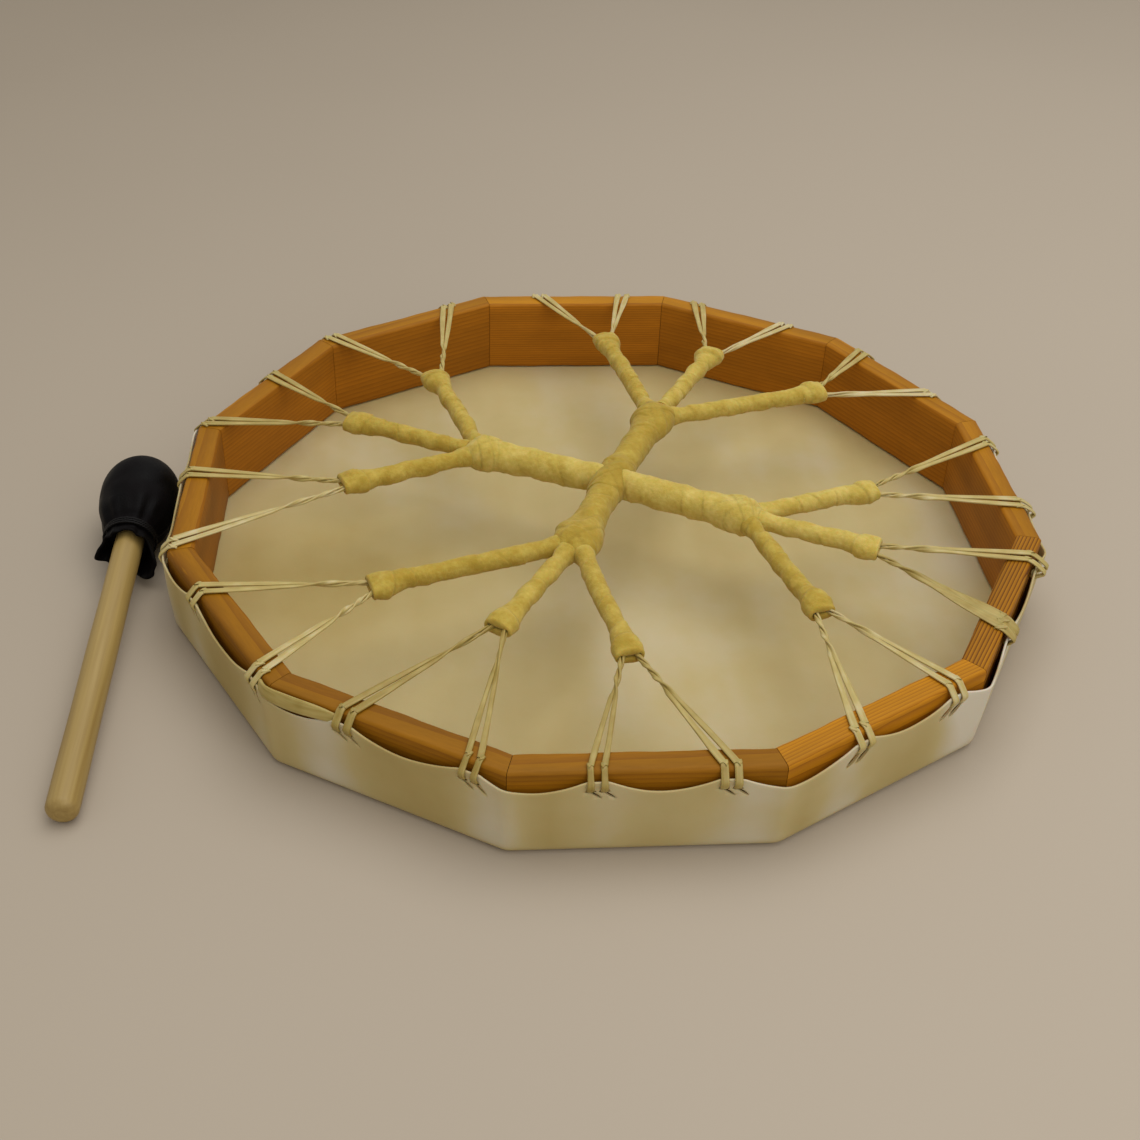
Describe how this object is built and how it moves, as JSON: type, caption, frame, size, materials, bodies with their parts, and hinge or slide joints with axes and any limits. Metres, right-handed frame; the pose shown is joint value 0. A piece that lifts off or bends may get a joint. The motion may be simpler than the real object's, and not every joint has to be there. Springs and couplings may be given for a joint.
{
  "type": "shaman drum",
  "caption": "Frame drum lying on its rawhide head: mitred wooden hoop, laces gathered to a wrapped hub as the hand hold, with a leather-headed beater beside it.",
  "frame": {"origin": "middle of the head's outer face, the face the drum rests on", "axes": "+Z out of the open back, at right angles to the head. A flat side of the hoop faces -Y. The beater lies on the -X side, its axis along Y with the head towards +Y."},
  "size_m": [0.5401, 0.4896, 0.0627],
  "materials": {
    "hoop_wood": "satin lacquered softwood",
    "rawhide": "dry scraped hide, slightly translucent",
    "lace": "dried rawhide strip",
    "chamois": "soft napped chamois",
    "stick_wood": "plain sanded",
    "felt": "packed felt",
    "black_leather": "matte black leather",
    "thread": "waxed black thread"
  },
  "bodies": {
    "drum": {"stave_01": "hoop_wood", "stave_02": "hoop_wood", "stave_03": "hoop_wood", "stave_04": "hoop_wood", "stave_05": "hoop_wood", "stave_06": "hoop_wood", "stave_07": "hoop_wood", "stave_08": "hoop_wood", "stave_09": "hoop_wood", "stave_10": "hoop_wood", "stave_11": "hoop_wood", "stave_12": "hoop_wood", "drum_head": "rawhide", "lace_01": "lace", "lace_02": "lace", "lace_03": "lace", "lace_04": "lace", "lace_05": "lace", "lace_06": "lace", "lace_07": "lace", "lace_08": "lace", "lace_09": "lace", "lace_10": "lace", "lace_11": "lace", "lace_12": "lace", "lace_13": "lace", "lace_14": "lace", "lace_15": "lace", "lace_16": "lace", "lace_17": "lace", "lace_18": "lace", "lace_19": "lace", "lace_20": "lace", "lace_21": "lace", "lace_22": "lace", "lace_23": "lace", "lace_24": "lace", "lace_tail": "lace", "lace_bundle": "lace", "hub_wrap": "chamois", "upper_limb_wrap": "chamois", "right_limb_wrap": "chamois", "lower_limb_wrap": "chamois", "left_limb_wrap": "chamois", "upper_twig_wrap_1": "chamois", "upper_twig_wrap_2": "chamois", "upper_twig_wrap_3": "chamois", "right_twig_wrap_1": "chamois", "right_twig_wrap_2": "chamois", "right_twig_wrap_3": "chamois", "lower_twig_wrap_1": "chamois", "lower_twig_wrap_2": "chamois", "lower_twig_wrap_3": "chamois", "left_twig_wrap_1": "chamois", "left_twig_wrap_2": "chamois", "left_twig_wrap_3": "chamois"},
    "beater": {"beater_stick": "stick_wood", "beater_padding": "felt", "beater_cover": "black_leather", "beater_tie": "thread"}
  },
  "joints": [
    {"name": "beater_lift", "type": "slide", "parent": "drum", "child": "beater", "axis": [0, 0, 1], "range_m": [0, 0.15]}
  ]
}
